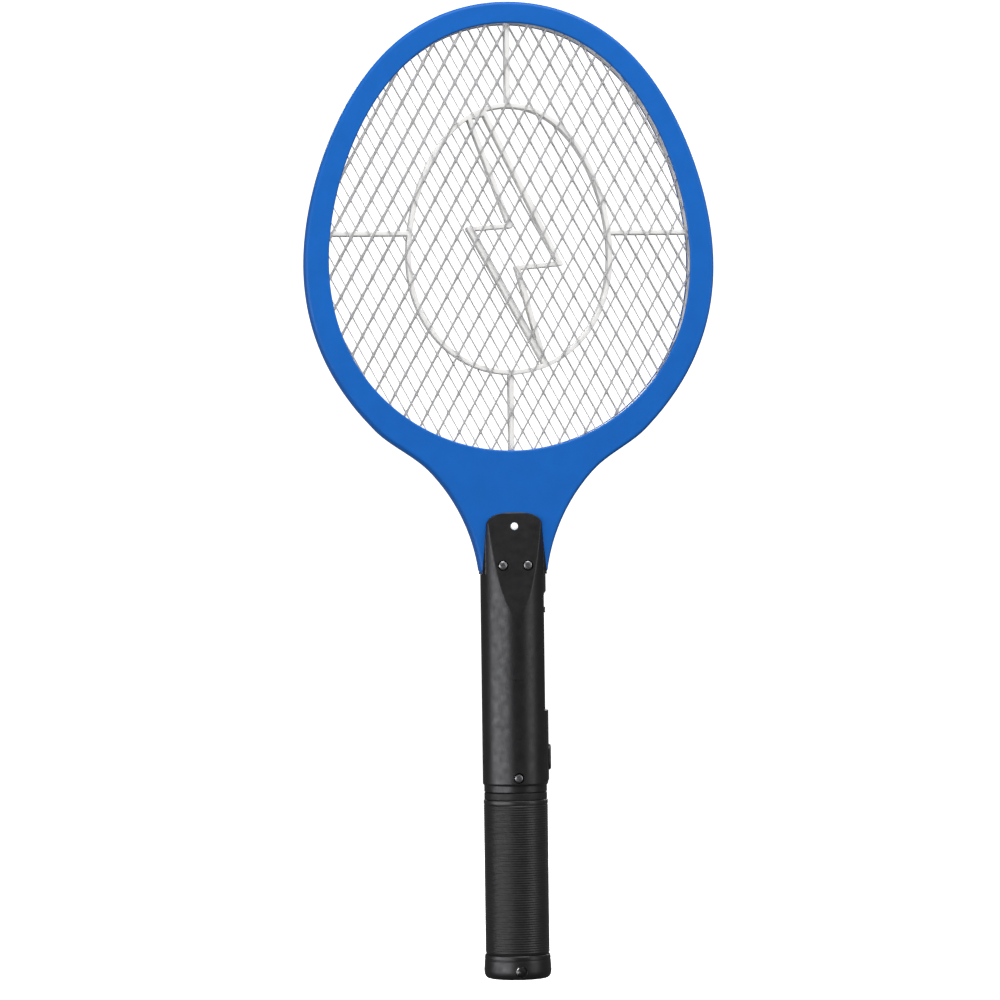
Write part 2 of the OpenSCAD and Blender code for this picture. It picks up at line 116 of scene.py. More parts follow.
SLEEVE = box("battery_sleeve")
CAP = box("end_cap")
RING = box("locking_ring")
HANG_Z, HANG_R = 4.2, 2.75
# How far each cell's axis lies from the handle's
CELL_X = 7.35


# ------------------------------------------------------------------ mesh tools
def make(name, verts, faces, mat, sharp=35):
    """A mesh piece from points in millimetres."""
    me = bpy.data.meshes.new(name)
    me.from_pydata([tuple(float(c) * MM for c in v) for v in verts], [], [tuple(f) for f in faces])
    me.validate()
    bm = bmesh.new()
    bm.from_mesh(me)
    bmesh.ops.recalc_face_normals(bm, faces=bm.faces)
    bm.to_mesh(me)
    bm.free()
    ob = bpy.data.objects.new(name, me)
    bpy.context.scene.collection.objects.link(ob)
    finish_shading(ob, sharp)
    me.materials.append(mat)
    return ob


def finish_shading(ob, sharp=35):
    """Smooth shading, with edges steeper than an angle kept sharp."""
    for p in ob.data.polygons:
        p.use_smooth = True
    ob.data.set_sharp_from_angle(angle=math.radians(sharp))


def loft(rings, around=True, along=False, caps=False):
    """Points and faces of a skin through rings of equal length."""
    n = len(rings[0])
    verts = np.concatenate([np.asarray(r, float) for r in rings])
    faces = []
    for i in range(len(rings) if along else len(rings) - 1):
        a, b = i * n, ((i + 1) % len(rings)) * n
        for k in range(n if around else n - 1):
            m = (k + 1) % n
            faces.append((a + k, a + m, b + m, b + k))
    if caps:
        faces.append(tuple(range(n)))
        faces.append(tuple((len(rings) - 1) * n + k for k in reversed(range(n))))
    return verts, faces


def joined(parts):
    """One points-and-faces pair from several."""
    verts, faces, at = [], [], 0
    for v, f in parts:
        verts.append(np.asarray(v, float))
        faces += [tuple(i + at for i in face) for face in f]
        at += len(v)
    return np.concatenate(verts), faces


def revolve(profile, n=96, centre=(0, 0), closed=True):
    """A turned skin round a vertical line, from (radius, z) pairs."""
    rings = []
    turns = np.linspace(0, 2 * math.pi, n, endpoint=False)
    for r, z in profile:
        rings.append(np.stack([centre[0] + r * np.cos(turns), centre[1] + r * np.sin(turns),
                               np.full(n, z)], 1))
    return loft(rings, along=closed)


def turned_y(profile, x, z, n=48):
    """A turned skin round a line along Y, from (radius, y) pairs, closed at both ends."""
    turns = np.linspace(0, 2 * math.pi, n, endpoint=False)
    rings = []
    for r, y in profile:
        r = max(r, 0.01)
        rings.append(np.stack([x + r * np.cos(turns), np.full(n, y), z + r * np.sin(turns)], 1))
    return loft(rings, caps=True)


def brick(low, high, bevel=0.0):
    """A block with its twelve edges cut back, as points and faces."""
    bm = bmesh.new()
    bmesh.ops.create_cube(bm, size=1)
    low, high = np.array(low, float), np.array(high, float)
    for v in bm.verts:
        v.co = Vector(low + (np.array(v.co) + 0.5) * (high - low))
    if bevel:
        bmesh.ops.bevel(bm, geom=bm.edges[:], offset=bevel, segments=2, affect="EDGES", profile=0.6)
    bm.verts.index_update()
    out = np.array([v.co[:] for v in bm.verts]), [tuple(v.index for v in f.verts) for f in bm.faces]
    bm.free()
    return out


def combine(ob, others, operation="DIFFERENCE", sharp=35):
    """Cuts or adds other skins, given as points and faces, exactly."""
    tools = []
    for verts, faces in others:
        tool = make("tool", verts, faces, ob.data.materials[0])
        tools.append(tool)
        mod = ob.modifiers.new("combine", "BOOLEAN")
        mod.operation = operation
        mod.solver = "EXACT"
        mod.object = tool
    deps = bpy.context.evaluated_depsgraph_get()
    me = bpy.data.meshes.new_from_object(ob.evaluated_get(deps))
    old = ob.data
    ob.modifiers.clear()
    ob.data = me
    bpy.data.meshes.remove(old)
    for tool in tools:
        data = tool.data
        bpy.data.objects.remove(tool)
        bpy.data.meshes.remove(data)
    finish_shading(ob, sharp)
    return ob


def copied(ob, name, change):
    """A copy of a piece with its points changed by a function of an (n, 3) array in millimetres."""
    me = ob.data.copy()
    co = np.zeros(len(me.vertices) * 3)
    me.vertices.foreach_get("co", co)
    me.vertices.foreach_set("co", (change(co.reshape(-1, 3) / MM) * MM).ravel())
    me.name = name
    bm = bmesh.new()
    bm.from_mesh(me)
    bmesh.ops.recalc_face_normals(bm, faces=bm.faces)
    bm.to_mesh(me)
    bm.free()
    new = bpy.data.objects.new(name, me)
    bpy.context.scene.collection.objects.link(new)
    finish_shading(new)
    return new


def stands_for(ob, node):
    """The piece takes the place of a CAD node, and moves with its body."""
    weigh = ob.modifiers.new("normals", "WEIGHTED_NORMAL")
    weigh.keep_sharp = True
    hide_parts(node)
    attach(ob, BODY_OF[node])
    return ob


# ------------------------------------------------------------------ materials
def nodes_of(name):
    """A new material with its node tree, its shader and a place to take textures from."""
    mat = bpy.data.materials.new(name)
    mat.use_nodes = True
    tree = mat.node_tree
    shader = next(n for n in tree.nodes if n.type == "BSDF_PRINCIPLED")
    place = tree.nodes.new("ShaderNodeTexCoord")
    return mat, tree, shader, place.outputs["Object"]


def noise(tree, place, scale, detail=3.0, rough=0.5, stretch=None):
    """A noise value, stretched along the axes where asked."""
    n = tree.nodes.new("ShaderNodeTexNoise")
    n.inputs["Scale"].default_value = scale
    n.inputs["Detail"].default_value = detail
    n.inputs["Roughness"].default_value = rough
    if stretch:
        m = tree.nodes.new("ShaderNodeMapping")
        m.inputs["Scale"].default_value = stretch
        tree.links.new(place, m.inputs["Vector"])
        place = m.outputs["Vector"]
    tree.links.new(place, n.inputs["Vector"])
    return n.outputs["Fac"]


def spread(tree, value, low, high, from_low=0.3, from_high=0.7):
    """Maps a noise value onto a range."""
    m = tree.nodes.new("ShaderNodeMapRange")
    for key, v in (("From Min", from_low), ("From Max", from_high), ("To Min", low), ("To Max", high)):
        m.inputs[key].default_value = v
    tree.links.new(value, m.inputs["Value"])
    return m.outputs["Result"]


def ramp(tree, value, dark, light):
    """A colour between two, by a noise value."""
    r = tree.nodes.new("ShaderNodeValToRGB")
    r.color_ramp.elements[0].position = 0.3
    r.color_ramp.elements[1].position = 0.7
    r.color_ramp.elements[0].color = (*dark, 1)
    r.color_ramp.elements[1].color = (*light, 1)
    tree.links.new(value, r.inputs["Fac"])
    return r.outputs["Color"]


def mixed(tree, factor, a, b):
    """A colour output, laid over by a fixed colour as far as a factor says."""
    m = tree.nodes.new("ShaderNodeMix")
    m.data_type = "RGBA"
    tree.links.new(factor, m.inputs["Factor"])
    tree.links.new(a, m.inputs["A"])
    m.inputs["B"].default_value = (*b, 1)
    return m.outputs["Result"]


def bumped(tree, height, strength, distance):
    """A normal from a height value."""
    b = tree.nodes.new("ShaderNodeBump")
    b.inputs["Strength"].default_value = strength
    b.inputs["Distance"].default_value = distance
    tree.links.new(height, b.inputs["Height"])
    return b.outputs["Normal"]


def plastic(name, colour, rough, grain=2600, bump=0.12, mottle=0.06, wear=0.5, specular=0.5,
            coat=0.0, soft=0.0):
    """Moulded plastic: mottled colour, uneven gloss, fine grain and sparse scuffs."""
    mat, tree, shader, place = nodes_of(name)
    c = np.array(colour)
    patches = noise(tree, place, 90, 3)
    base = ramp(tree, patches, c * (1 - mottle), c * (1 + mottle))
    scuffs = spread(tree, noise(tree, place, 420, 6, 0.75, (1, 1, 0.25)), 0, wear, 0.66, 0.8)
    worn = c * 0.7 + 0.3 * (c.max() * 0.5 + 0.2)
    tree.links.new(mixed(tree, scuffs, base, worn), shader.inputs["Base Color"])
    gloss = spread(tree, noise(tree, place, 260, 4), rough - 0.05, rough + 0.07)
    more = tree.nodes.new("ShaderNodeMath")
    more.operation = "MULTIPLY_ADD"
    tree.links.new(scuffs, more.inputs[0])
    more.inputs[1].default_value = 0.25
    tree.links.new(gloss, more.inputs[2])
    tree.links.new(more.outputs[0], shader.inputs["Roughness"])
    tree.links.new(bumped(tree, noise(tree, place, grain, 2), bump, 0.00004), shader.inputs["Normal"])
    shader.inputs["Specular IOR Level"].default_value = specular
    shader.inputs["Coat Weight"].default_value = coat
    if soft:
        shader.inputs["Subsurface Weight"].default_value = soft
        shader.inputs["Subsurface Radius"].default_value = (1.0, 1.0, 1.0)
        shader.inputs["Subsurface Scale"].default_value = 0.002
    return mat


def metal(name, colour, rough, grain=900, bump=0.15, stretch=None):
    """Bare metal: dull patches, brushed grain and tarnish."""
    mat, tree, shader, place = nodes_of(name)
    c = np.array(colour)
    base = ramp(tree, noise(tree, place, 240, 5), c * 0.88, np.minimum(c * 1.08, 1))
    tarnish = spread(tree, noise(tree, place, 700, 6, 0.7), 0, 0.25, 0.55, 0.75)
    tree.links.new(mixed(tree, tarnish, base, c * 0.55), shader.inputs["Base Color"])
    gloss = spread(tree, noise(tree, place, 500, 4), rough - 0.07, rough + 0.1)
    tree.links.new(gloss, shader.inputs["Roughness"])
    brushed = noise(tree, place, grain, 3, 0.6, stretch)
    tree.links.new(bumped(tree, brushed, bump, 0.00005), shader.inputs["Normal"])
    shader.inputs["Metallic"].default_value = 1.0
    return mat


def materials():
    """Every material by a short key."""
    return {
        "blue": plastic("blue_plastic", (0.0083, 0.13, 0.51), 0.42, grain=2200, mottle=0.04,
                        wear=0.05, specular=0.2),
        "black": plastic("black_plastic", (0.007, 0.0064, 0.0076), 0.4, grain=3200, bump=0.2,
                         mottle=0.1, wear=0.03, specular=0.46),
        "sleeve": plastic("sleeve_plastic", (0.012, 0.0104, 0.0108), 0.38, grain=3000, bump=0.2,
                          mottle=0.1, wear=0.04),
        "ring": plastic("ring_plastic", (0.011, 0.01, 0.0105), 0.5, mottle=0.1, wear=0.04, specular=0.35),
        "button": plastic("button_plastic", (0.012, 0.0115, 0.012), 0.4, mottle=0.1, wear=0.06),
        "pale": plastic("pale_plastic", (0.85, 0.84, 0.82), 0.45, mottle=0.02, wear=0.1, soft=0.3),
        "grey": plastic("grey_plastic", (0.3, 0.3, 0.31), 0.5),
        "holder": plastic("holder_plastic", (0.05, 0.05, 0.055), 0.5, mottle=0.12),
        "component": plastic("component_black", (0.02, 0.02, 0.022), 0.45),
        "board": plastic("board", (0.02, 0.13, 0.05), 0.4, grain=1500, mottle=0.12),
        "ferrite": plastic("ferrite", (0.05, 0.05, 0.055), 0.6, grain=1800, bump=0.3),
        "film": plastic("capacitor_film", (0.35, 0.07, 0.02), 0.3),
        "ceramic": plastic("capacitor_ceramic", (0.05, 0.16, 0.5), 0.35),
        "resistor": plastic("resistor_body", (0.6, 0.45, 0.25), 0.4),
        "red": plastic("red_wire", (0.5, 0.015, 0.012), 0.4),
        "wire_black": plastic("black_wire", (0.02, 0.02, 0.02), 0.42),
        "jacket": plastic("cell_jacket", (0.16, 0.2, 0.24), 0.3, mottle=0.05, coat=0.3),
        "net": metal("net_metal", (0.72, 0.72, 0.73), 0.5, grain=2400),
        "screw": metal("screw_steel", (0.3, 0.3, 0.31), 0.36),
        "spring": metal("spring_steel", (0.6, 0.6, 0.6), 0.28),
        "brass": metal("brass_strip", (0.66, 0.47, 0.2), 0.32),
        "tin": metal("switch_metal", (0.55, 0.56, 0.58), 0.3),
        "winding": metal("winding", (0.7, 0.32, 0.12), 0.35, grain=1600, bump=0.5, stretch=(1, 1, 8)),
        "led": led_lens(),
    }


def led_lens():
    """Clear milky lens, a little lit from inside."""
    mat, tree, shader, place = nodes_of("led_lens")
    tree.links.new(ramp(tree, noise(tree, place, 700), (0.85, 0.88, 0.9), (0.95, 0.97, 1)),
                   shader.inputs["Base Color"])
    tree.links.new(spread(tree, noise(tree, place, 900), 0.12, 0.2), shader.inputs["Roughness"])
    tree.links.new(bumped(tree, noise(tree, place, 1500), 0.05, 0.00003), shader.inputs["Normal"])
    shader.inputs["Emission Color"].default_value = (0.9, 0.96, 1, 1)
    shader.inputs["Emission Strength"].default_value = 0.35
    return mat


M = materials()


# ------------------------------------------------------------------ head outlines
def pear(t, half, shape):
    """Half-width of a pear outline at t, which runs from -1 at its top to 1 at its bottom."""
    t = np.asarray(t, float)
    return half * np.sqrt(np.clip(1 - t * t, 0, 1)) * (
        shape[0] + shape[1] * t + shape[2] * t ** 2 + shape[3] * t ** 3)


def pear_half(turn, top, bottom, half, shape):
    """Point of a pear's right side at a turn from its top, in degrees."""
    t = -np.cos(np.radians(turn))
    return pear(t, half, shape), (top + bottom) / 2 - t * (top - bottom) / 2


def throat_x(z):
    """Half-width of the throat's round curve at a height."""
    return THROAT_X - np.sqrt(np.maximum(THROAT_R ** 2 - (np.asarray(z, float) - THROAT_Z) ** 2, 0))


def smooth(v):
    """A step from 0 to 1 with soft ends."""
    v = np.clip(v, 0, 1)
    return v * v * (3 - 2 * v)


def head_side():
    """Matching right-hand points of the frame's outer edge and of its opening, top to bottom."""
    middle, reach = (HEAD_TOP + HEAD_BOTTOM) / 2, (HEAD_TOP - HEAD_BOTTOM) / 2
    flow_turn, foot_turn, corner = 134.9, 167, 3.2
    turns = np.concatenate([np.linspace(0, 20, 16, endpoint=False), np.linspace(20, flow_turn, 84)])
    ox, oz = pear_half(turns, HEAD_TOP, HEAD_BOTTOM, HEAD_HALF, OUTER_SHAPE)
    # Down the throat, round the shoulder's corner and in to the middle
    low = np.linspace(FLOW_TOP, SHOULDER_Z + corner, 54)[1:]
    share = smooth((low - FLOW_BOTTOM) / (FLOW_TOP - FLOW_BOTTOM))
    x_pear = pear(-(low - middle) / reach, HEAD_HALF, OUTER_SHAPE)
    lx = throat_x(low) + share * (x_pear - throat_x(low))
    bend = np.radians(np.linspace(0, 90, 9)[1:])
    foot = np.linspace(lx[-1] - corner, 0, 9)[1:]
    ox = np.concatenate([ox, lx, lx[-1] - corner * (1 - np.cos(bend)), foot])
    oz = np.concatenate([oz, low, low[-1] - corner * np.sin(bend), np.full(8, SHOULDER_Z)])
    inner = np.concatenate([turns, np.linspace(flow_turn, foot_turn, len(low) + 1)[1:],
                            np.linspace(foot_turn, 170, 9)[1:], np.linspace(170, 180, 9)[1:]])
    ix, iz = pear_half(inner, OPEN_TOP, OPEN_BOTTOM, OPEN_HALF, OPEN_SHAPE)
    return np.stack([ox, oz], 1), np.stack([ix, iz], 1)


def both_sides(right):
    """A whole loop from its right-hand side, which starts and ends on the middle line."""
    left = right[1:-1][::-1] * (-1, 1)
    return np.concatenate([right, left])


def normals_of(loop):
    """Outward normals of a clockwise loop."""
    d = np.roll(loop, -1, 0) - np.roll(loop, 1, 0)
    n = np.stack([-d[:, 1], d[:, 0]], 1)
    n /= np.linalg.norm(n, axis=1)[:, None]
    if np.sum(n * (loop - loop.mean(0))) < 0:
        n = -n
    return n


def frame_ring(side):
    """Skin of one half of the frame; side is -1 in front and 1 behind."""
    outer, inner = head_side()
    outer, inner = both_sides(outer), both_sides(inner)
    n_out, n_in = normals_of(outer), normals_of(inner)
    rows = []

    def row(base, normal, shift, depth):
        p = base + normal * shift
        rows.append(np.stack([p[:, 0], np.full(len(p), side * depth), p[:, 1]], 1))

    # Roundings of the outer and inner edges, and rows that keep the flat face flat beside them
    big, small, support = 1.9, 0.9, 0.35
    row(outer, n_out, -0.22, 0)
    row(outer, n_out, 0, 0.22)
    for a in np.radians(np.linspace(0, 90, 9)):
        row(outer, n_out, -big * (1 - math.cos(a)), FRAME_T - big * (1 - math.sin(a)))
    row(outer, n_out, -big - support, FRAME_T)
    row(inner, n_in, small + support, FRAME_T)
    for a in np.radians(np.linspace(0, 90, 6)):
        row(inner, n_in, small * (1 - math.sin(a)), FRAME_T - small * (1 - math.cos(a)))
    row(inner, n_in, 0, STACK + 0.15)
    row(inner, n_in, 0.15, STACK)
    rebate = 5
    row(inner, n_in, rebate, STACK)
    row(inner, n_in, rebate, 0)
    return loft(rows, along=True)


def screw_spot(turn):
    """Place of a frame screw at a turn from the top of the head."""
    x, z = pear_half(abs(turn), HEAD_TOP - SCREW_IN, HEAD_BOTTOM + SCREW_IN, HEAD_HALF, OUTER_SHAPE)
    return math.copysign(1, turn) * (float(x) - SCREW_IN * math.sin(math.radians(abs(turn)))), float(z)


def frames():
    """Front and rear half of the head frame, each with its half of the tang."""
    tang = [brick([-TANG_HALF, -7.4, TANG_Z], [TANG_HALF, 0, SHOULDER_Z + 0.3], 0.2),
            brick([-TANG_HALF, 0, TANG_Z], [TANG_HALF, 7.4, SHOULDER_Z + 0.3], 0.2)]
    front = make("front_frame_half", *joined([frame_ring(-1), tang[0]]), M["blue"])
    rear = make("rear_frame_half", *joined([frame_ring(1), tang[1]]), M["blue"])
    cuts = []
    for turn in SCREW_TURNS:
        x, z = screw_spot(turn)
        cuts.append(turned_y([(2.2, FRAME_SCREW_Y - 0.1), (2.2, 7.3), (2.6, 7.7)], x, z, 32))
    combine(rear, cuts)
    stands_for(front, "front_frame")
    stands_for(rear, "rear_frame")


# ------------------------------------------------------------------ nets
def inside_opening(x, z, grow):
    """Which points lie inside the opening grown by some amount."""
    top, bottom = OPEN_TOP + grow, OPEN_BOTTOM - grow
    t = -(z - (top + bottom) / 2) / ((top - bottom) / 2)
    return (np.abs(t) < 1) & (np.abs(x) < pear(np.clip(t, -1, 1), OPEN_HALF + grow, OPEN_SHAPE))


def strand(line, lean, y, width, thick, tilt, aside):
    """One strand of a net: a flat bar, thicker where it meets the others."""
    step = np.array([lean * CELL_W, CELL_H]) / 2
    middle = (OPEN_TOP + OPEN_BOTTOM) / 2
    s = np.arange(-26, 26.01, 0.125)
    x, z = line * CELL_W + s * step[0] + aside, middle + s * step[1]
    ok = inside_opening(x, z, 4.4)
    if ok.sum() < 6:
        return None
    x, z, s = x[ok], z[ok], s[ok]
    side = np.array([step[1], -step[0]]) / np.hypot(*step)
    # Nodes lie where the other family crosses
    near = np.abs((line * lean + s) % 1.0 - 0.5)
    bulge = np.exp(-(near / 0.13) ** 2)
    c, sn = math.cos(tilt), math.sin(tilt)
    section = ((-1, -0.6), (-0.7, -1), (0.7, -1), (1, -0.6), (1, 0.6), (0.7, 1), (-0.7, 1), (-1, 0.6))
    rings = []
    for k in range(len(s)):
        w, t = width * (1 + 0.75 * bulge[k]) / 2, thick * (1 + 0.15 * bulge[k]) / 2
        ring = []
        for u, v in section:
            a, b = u * w * c - v * t * sn, u * w * sn + v * t * c
            b = np.clip(b, -NET_HALF_T, NET_HALF_T)
            ring.append((x[k] + side[0] * a, y + b, z[k] + side[1] * a))
        rings.append(ring)
    return loft(rings, caps=True)


def net(node, y, shift, aside, tab):
    """A net of leaning strands, moved by part of a cell and sideways, with its tab at x = tab."""
    parts = []
    for lean, width, tilt in ((1, 0.7, 0.34), (-1, 0.56, 0.3 if shift else 0.05)):
        for i in range(-14, 15):
            offset = 0.5 if lean > 0 else 0.5 + 2 * shift
            part = strand(i + offset, lean, y, width, 0.5, tilt, aside)
            if part:
                parts.append(part)
    parts.append(brick([tab - TAB_HALF, y - NET_HALF_T, TAB_BOTTOM],
                       [tab + TAB_HALF, y + NET_HALF_T, OPEN_BOTTOM - 2], 0.1))
    ob = make(node + "_mesh", *joined(parts), M["net"], 50)
    stands_for(ob, node)


# ------------------------------------------------------------------ spacers
def bar_profile(half, low, high, r=0.45):
    """Rounded section of a rib: offsets across it and depths."""
    pts = []
    for cx, cy, start in ((half - r, high - r, 0), (-half + r, high - r, 90), (-half + r, low + r, 180),
                          (half - r, low + r, 270)):
        for a in np.radians(np.linspace(start, start + 90, 4)):
            pts.append((cx + r * math.cos(a), cy + r * math.sin(a)))
    return pts


def pear_band(top, bottom, half, shape, width, low, high, n=180):
    """A rounded band just inside a pear outline."""
    turns = np.linspace(0, 180, n // 2 + 1)
    x, z = pear_half(turns, top, bottom, half, shape)
    loop = both_sides(np.stack([x, z], 1))
    normal = normals_of(loop)
    rows = []
    for across, depth in bar_profile(width / 2, low, high):
        p = loop + normal * (across - width / 2)
        rows.append(np.stack([p[:, 0], np.full(len(p), depth), p[:, 1]], 1))
    return loft(rows, along=True)


def rib_bar(a, b, low, high, width=RIB):
    """A rounded straight rib from a to b, half a rib longer at each end."""
    a, b = np.array(a, float), np.array(b, float)
    d = (b - a) / np.linalg.norm(b - a)
    side = np.array([-d[1], d[0]])
    middle = (low + high) / 2
    rings = []
    for end, grow, shrink, flatten in ((a, -width / 2, 0.8, 0.96), (a, -width / 2 + 0.3, 1, 1),
                                       (b, width / 2 - 0.3, 1, 1), (b, width / 2, 0.8, 0.96)):
        ring = []
        for across, depth in bar_profile(width / 2, low, high):
            p = end + d * grow + side * across * shrink
            ring.append((p[0], middle + (depth - middle) * flatten, p[1]))
        rings.append(ring)
    return loft(rings, caps=True)


def spacers():
    """Pale ribs between the nets: a rim, an oval ring, four spokes and a zigzag brace."""
    low, high = box("front_spacer")[0][1], box("front_spacer")[1][1]
    ring_top, ring_bottom, ring_half = 448.3, 309.2, 52.7
    middle = (ring_top + ring_bottom) / 2 + 3
    brace = [(-12, 443), (26, 366), (4, 364), (18, 314), (-20.5, 384), (0.5, 385.5), (-20, 441)]
    spokes = [
        ((-OPEN_HALF - 2, middle), (-ring_half + 1, middle)),
        ((ring_half - 1, middle), (OPEN_HALF + 2, middle)),
        ((0, ring_top - 1), (0, OPEN_TOP + 2)),
        ((0, OPEN_BOTTOM - 2), (0, ring_bottom + 1))]
    # The ribs are two hundredths apart in depth, so that no two of their faces lie in one plane
    rim = 4.7
    parts = [pear_band(OPEN_TOP + rim, OPEN_BOTTOM - rim, OPEN_HALF + rim, OPEN_SHAPE, 4.4, low, high)]
    ring = pear_band(ring_top, ring_bottom, ring_half, OPEN_SHAPE, RIB, low, high)
    first = make("front_spacer_ribs", *ring, M["pale"])
    for k, corner in enumerate(brace):
        inset = 0.02 * (1 + k % 2)
        parts.append(rib_bar(corner, brace[(k + 1) % len(brace)], low + inset, high - inset))
    for start, end in spokes:
        parts.append(rib_bar(start, end, low + 0.05, high - 0.05))
    combine(first, parts, "UNION")
    rear = copied(first, "rear_spacer_ribs", lambda co: co * (1, -1, 1))
    stands_for(first, "front_spacer")
    stands_for(rear, "rear_spacer")


# ------------------------------------------------------------------ handle shells
def soft_min(a, b, k):
    """The smaller of two values, rounded over where they are within k of each other."""
    h = np.clip(0.5 + 0.5 * (b - a) / k, 0, 1)
    return b * (1 - h) + a * h - k * h * (1 - h)


def shell_radius(turn, z):
    """Outer radius of the handle at a turn from +X (radians, 90 degrees is the face) and a height."""
    c, s = math.cos(turn), max(math.sin(turn), 1e-4)
    r = HANDLE_R - (HANDLE_R - NECK_R) * (1 - smooth((z - NECK_TOP) / 0.9 + 0.5))
    if c > 0.1:
        y_edge = abs(HANDLE_R * s)
        pad = smooth((PAD_HALF - y_edge) / 1.6 + 0.5) * smooth((z - PAD_BOTTOM) / 1.2)
        pad *= smooth((FLAT_BOTTOM - z) / 0.3 + 0.5)
        r += (PAD_R - HANDLE_R) * pad
        flat = smooth((z - FLAT_BOTTOM) / 0.3 + 0.5) * smooth((FLAT_TOP - z) / 2.5 + 0.5)
        if flat > 0:
            r = r * (1 - flat) + flat * soft_min(r, FLAT_X / c, 0.6)
    if z > FACET_Z - 4:
        face = HANDLE_R - FACET_SLOPE * (z - FACET_Z)
        r = soft_min(r, face / s, 0.25)
    return r


def shell_body():
    """Skin of the round part of the front shell, below the shoulder."""
    low_z, high_z = SHELL_BOTTOM, SHOULDER_Z
    zs = sorted(set(np.round(np.concatenate([
        np.linspace(low_z, 102, 16), np.linspace(102, 136, 18),
        FLAT_BOTTOM + np.array([-0.6, -0.15, -0.08, 0, 0.08, 0.15, 0.6]), np.linspace(139, 183, 12),
        np.linspace(183, 200, 30), np.linspace(200, high_z, 8)]), 3)))
    turns = np.radians(np.linspace(0, 180, 129))
    groove, chamfer, least_wall = 0.18, 0.35, 1.6
    rings = []
    for z in zs:
        cut = chamfer * (1 - smooth((z - low_z) / chamfer))
        outer, inner = [], []
        for t in turns:
            r = shell_radius(t, z)
            outer.append(((r - cut) * math.cos(t), -(r - cut) * math.sin(t), z))
            r = min(BORE_R, r - least_wall)
            inner.insert(0, (r * math.cos(t), -r * math.sin(t), z))
        # A fine groove along the parting line
        for ring_end in (0, -1):
            x, _, zz = outer[ring_end]
            outer[ring_end] = (x - math.copysign(groove, x), 0.0, zz)
        first = outer[0]
        second = (first[0] + groove, -groove, z)
        last = outer[-1]
        before = (last[0] - groove, -groove, z)
        rings.append([first, second] + outer[1:-1] + [before, last] + inner)
    return loft(rings, caps=True)


def tongue_skin():
    """Skin of the front tongue, above the shoulder."""
    corner, top_half, fullness, rim = 7.5, 14.4, 2.5, 0.7
    corner_z = TONGUE_TOP - corner
    zs = np.concatenate([np.linspace(SHOULDER_Z, corner_z, 16)[:-1],
                         corner_z + corner * np.sin(np.radians(np.linspace(0, 90, 22)))])
    base = np.cos(np.radians(np.linspace(26.5, 153.5, 73)))
    spread_x = base / base[0]
    rings = []
    for z in zs:
        if z <= corner_z:
            half = HANDLE_R + (top_half - HANDLE_R) * (z - SHOULDER_Z + 1) / (corner_z - SHOULDER_Z + 1)
        else:
            rise = (z - corner_z) / corner
            half = 0.3 + (top_half - 0.3) * (1 - rise ** fullness) ** (1 / fullness)
        face = HANDLE_R - FACET_SLOPE * (z - FACET_Z)
        ring = []
        for x in half * spread_x:
            y = float(soft_min(math.sqrt(max(HANDLE_R ** 2 - x * x, 0)), face, 0.25))
            # Rounded rim of the face, down the sides and over the top
            for gap in (half - abs(x), TONGUE_TOP - z):
                if gap < rim:
                    y -= (rim - math.sqrt(max(rim ** 2 - (rim - gap) ** 2, 0))) * 0.6
            ring.append((x, -max(y, FRAME_T + 0.3), z))
        ring += [(x, -FRAME_T, z) for x in half * spread_x[::-1]]
        rings.append(ring)
    return loft(rings, caps=True)


def pill(gap, x0, x1, edge=0.0, n=16):
    """The button's round-ended form from x0 to x1, with a rounded outer edge."""
    height, width = 13.4, 8.0
    rows = []
    steps = [(x0, 0.0)] + [(x1 - edge * (1 - math.sin(a)), edge * (1 - math.cos(a)))
                           for a in np.radians(np.linspace(0, 90, 7 if edge else 1))]
    for x, inset in steps:
        r = width / 2 + gap - inset
        ring = []
        for side in (1, -1):
            for a in np.radians(np.linspace(0, 180, n)):
                rise = (height - width) / 2 + r * math.sin(a)
                ring.append((x, side * r * math.cos(a), BUTTON_Z + side * rise))
        rows.append(ring)
    return loft(rows, caps=True)


def shells():
    """Both handle shells: round body and tongue, with the openings for controls and screws."""
    body = make("front_shell_body", *shell_body(), M["black"])
    tongue = make("front_shell_tongue", *tongue_skin(), M["black"])
    rear = copied(body, "rear_shell_body", lambda co: co * (1, -1, 1))
    rear_tongue = copied(tongue, "rear_shell_tongue", lambda co: co * (1, -1, 1))
    shared = [pill(0.25, 11, 19), brick([10, -1.7, KNOB[0][2] - 0.5], [20, 1.7, KNOB[1][2] + 4.5])]
    # Two faint moulding marks on the front
    marks = [brick([-w, -17.2, z - 0.2], [w, -16.5, z + 0.2]) for w, z in ((2.6, 153), (1.6, 123))]
    recess = SCREW_HEAD_R + 0.32
    lower = turned_y([(recess, -14.6), (recess, -16.4), (3.1, -17.2)], 0, LOWER_SCREW_Z)
    combine(body, shared + marks + [lower])
    combine(rear, shared)
    holes = [turned_y([(2.0, -7), (2.0, -9.6), (2.25, -12)], 0, LED_Z)]
    for x in (-NECK_SCREW_X, NECK_SCREW_X):
        holes.append(turned_y([(recess, -11.2), (recess, -12.6), (3.1, -14.2)], x, NECK_SCREW_Z))
    combine(tongue, holes)
    for ob, node in ((body, "front_shell"), (tongue, "front_shell"), (rear, "rear_shell"),
                     (rear_tongue, "rear_shell")):
        stands_for(ob, node)


